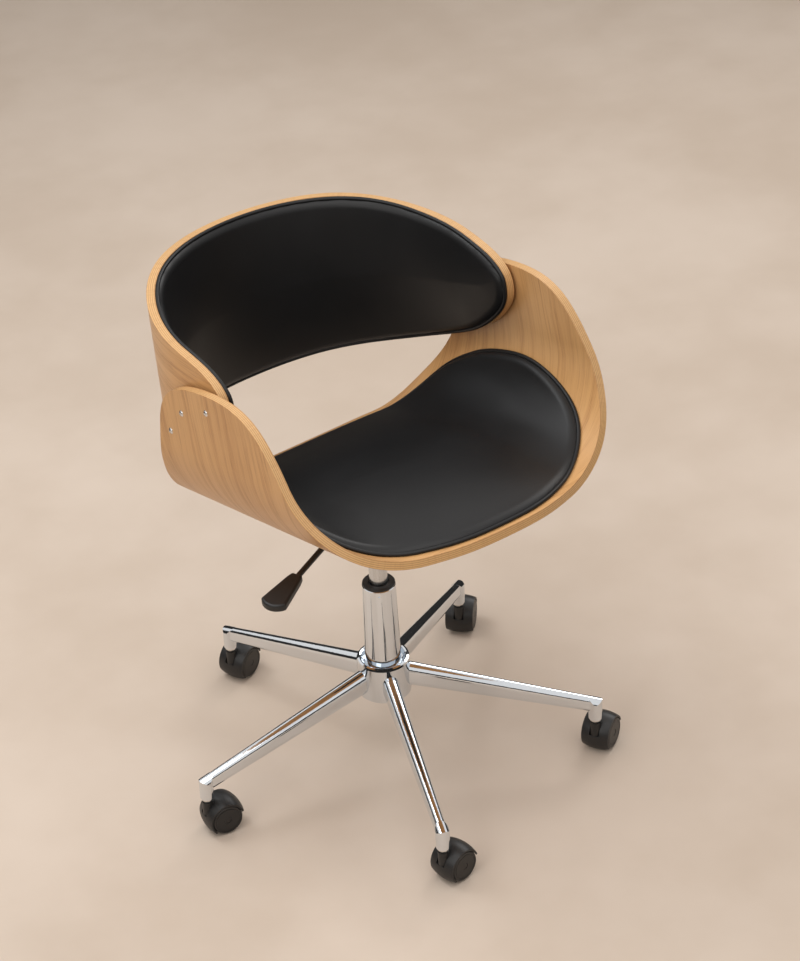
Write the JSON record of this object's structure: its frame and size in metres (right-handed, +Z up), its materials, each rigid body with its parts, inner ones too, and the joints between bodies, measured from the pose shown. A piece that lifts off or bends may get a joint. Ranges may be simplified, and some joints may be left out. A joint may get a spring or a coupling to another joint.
{
  "type": "desk chair",
  "caption": "Swivel desk chair: bent oak plywood seat and wrap-around backrest with black pads, height lever, gas column, chromed star base on twin-wheel casters.",
  "frame": {"origin": "on the floor under the column axis", "axes": "+Z up along the column; the chair faces -Y; +X is the sitter's left, so the lever is on the -X side"},
  "size_m": [0.6115, 0.6312, 0.7585],
  "materials": {
    "oak": "satin lacquered oak veneer",
    "black_leather": "satin black",
    "chrome": "polished",
    "steel": "plain",
    "black_paint": "satin black",
    "black_nylon": "matt black moulded"
  },
  "bodies": {
    "base": {"base_hub": "chrome", "base_arm_1": "chrome", "base_arm_2": "chrome", "base_arm_3": "chrome", "base_arm_4": "chrome", "base_arm_5": "chrome", "caster_stems": "steel", "column_tube": "chrome", "column_bushing": "black_nylon", "thrust_bearing": "steel"},
    "rod": {"piston_rod": "steel", "rod_clip": "steel"},
    "seat": {"seat_shell": "oak", "backrest_shell": "oak", "seat_pad": "black_leather", "backrest_pad": "black_leather", "arm_screws": "steel", "arm_spacers": "black_nylon", "seat_plate": "black_paint", "plate_bolts": "steel", "tee_nuts": "steel", "channel": "black_paint", "taper_socket": "black_paint", "gas_cylinder": "chrome", "lever_pin": "steel"},
    "lever": {"lever_rod": "black_paint", "lever_paddle": "black_nylon"},
    "button": {"release_button": "steel"},
    "caster_1": {"caster_1_hood": "black_nylon", "caster_1_axle": "steel"},
    "caster_1_wheel_a": {"caster_1_wheel_a": "black_nylon"},
    "caster_1_wheel_b": {"caster_1_wheel_b": "black_nylon"},
    "caster_2": {"caster_2_hood": "black_nylon", "caster_2_axle": "steel"},
    "caster_2_wheel_a": {"caster_2_wheel_a": "black_nylon"},
    "caster_2_wheel_b": {"caster_2_wheel_b": "black_nylon"},
    "caster_3": {"caster_3_hood": "black_nylon", "caster_3_axle": "steel"},
    "caster_3_wheel_a": {"caster_3_wheel_a": "black_nylon"},
    "caster_3_wheel_b": {"caster_3_wheel_b": "black_nylon"},
    "caster_4": {"caster_4_hood": "black_nylon", "caster_4_axle": "steel"},
    "caster_4_wheel_a": {"caster_4_wheel_a": "black_nylon"},
    "caster_4_wheel_b": {"caster_4_wheel_b": "black_nylon"},
    "caster_5": {"caster_5_hood": "black_nylon", "caster_5_axle": "steel"},
    "caster_5_wheel_a": {"caster_5_wheel_a": "black_nylon"},
    "caster_5_wheel_b": {"caster_5_wheel_b": "black_nylon"}
  },
  "joints": [
    {"name": "seat_swivel", "type": "hinge", "parent": "base", "child": "rod", "pos_m": [0, 0, 0], "axis": [0, 0, 1], "continuous": true},
    {"name": "seat_lift", "type": "slide", "parent": "rod", "child": "seat", "axis": [0, 0, 1], "range_m": [-0.09, 0.01]},
    {"name": "lever_lift", "type": "hinge", "parent": "seat", "child": "lever", "pos_m": [-0.02743, -0.01215, 0.456], "axis": [-0.4051, 0.9143, 0], "range_deg": [0, 4]},
    {"name": "button_press", "type": "slide", "parent": "seat", "child": "button", "axis": [0, 0, -1], "range_m": [0, 0.0024], "stiffness_N_per_m": 600, "springref_m": -0.003},
    {"name": "caster_1_swivel", "type": "hinge", "parent": "base", "child": "caster_1", "pos_m": [-0.07054, 0.29159, 0.06], "axis": [0, 0, 1], "continuous": true},
    {"name": "caster_1_roll_a", "type": "hinge", "parent": "caster_1", "child": "caster_1_wheel_a", "pos_m": [-0.05175, 0.29843, 0.025], "axis": [-0.342, 0.9397, 0], "continuous": true},
    {"name": "caster_1_roll_b", "type": "hinge", "parent": "caster_1", "child": "caster_1_wheel_b", "pos_m": [-0.05175, 0.29843, 0.025], "axis": [-0.342, 0.9397, 0], "continuous": true},
    {"name": "caster_2_swivel", "type": "hinge", "parent": "base", "child": "caster_2", "pos_m": [-0.29912, 0.02302, 0.06], "axis": [0, 0, 1], "continuous": true},
    {"name": "caster_2_roll_a", "type": "hinge", "parent": "caster_2", "child": "caster_2_wheel_a", "pos_m": [-0.27942, 0.01954, 0.025], "axis": [0.1736, 0.9848, 0], "continuous": true},
    {"name": "caster_2_roll_b", "type": "hinge", "parent": "caster_2", "child": "caster_2_wheel_b", "pos_m": [-0.27942, 0.01954, 0.025], "axis": [0.1736, 0.9848, 0], "continuous": true},
    {"name": "caster_3_swivel", "type": "hinge", "parent": "base", "child": "caster_3", "pos_m": [-0.11432, -0.27736, 0.06], "axis": [0, 0, 1], "continuous": true},
    {"name": "caster_3_roll_a", "type": "hinge", "parent": "caster_3", "child": "caster_3_wheel_a", "pos_m": [-0.09452, -0.27458, 0.025], "axis": [-0.1392, 0.9903, 0], "continuous": true},
    {"name": "caster_3_roll_b", "type": "hinge", "parent": "caster_3", "child": "caster_3_wheel_b", "pos_m": [-0.09452, -0.27458, 0.025], "axis": [-0.1392, 0.9903, 0], "continuous": true},
    {"name": "caster_4_swivel", "type": "hinge", "parent": "base", "child": "caster_4", "pos_m": [0.22846, -0.19444, 0.06], "axis": [0, 0, 1], "continuous": true},
    {"name": "caster_4_roll_a", "type": "hinge", "parent": "caster_4", "child": "caster_4_wheel_a", "pos_m": [0.24628, -0.18536, 0.025], "axis": [-0.454, 0.891, 0], "continuous": true},
    {"name": "caster_4_roll_b", "type": "hinge", "parent": "caster_4", "child": "caster_4_wheel_b", "pos_m": [0.24628, -0.18536, 0.025], "axis": [-0.454, 0.891, 0], "continuous": true},
    {"name": "caster_5_swivel", "type": "hinge", "parent": "base", "child": "caster_5", "pos_m": [0.25552, 0.1572, 0.06], "axis": [0, 0, 1], "continuous": true},
    {"name": "caster_5_roll_a", "type": "hinge", "parent": "caster_5", "child": "caster_5_wheel_a", "pos_m": [0.27015, 0.17084, 0.025], "axis": [-0.682, 0.7314, 0], "continuous": true},
    {"name": "caster_5_roll_b", "type": "hinge", "parent": "caster_5", "child": "caster_5_wheel_b", "pos_m": [0.27015, 0.17084, 0.025], "axis": [-0.682, 0.7314, 0], "continuous": true}
  ],
  "couplings": [
    {"joint": "button_press", "follows": "lever_lift", "m_per_rad": 0.0343}
  ]
}
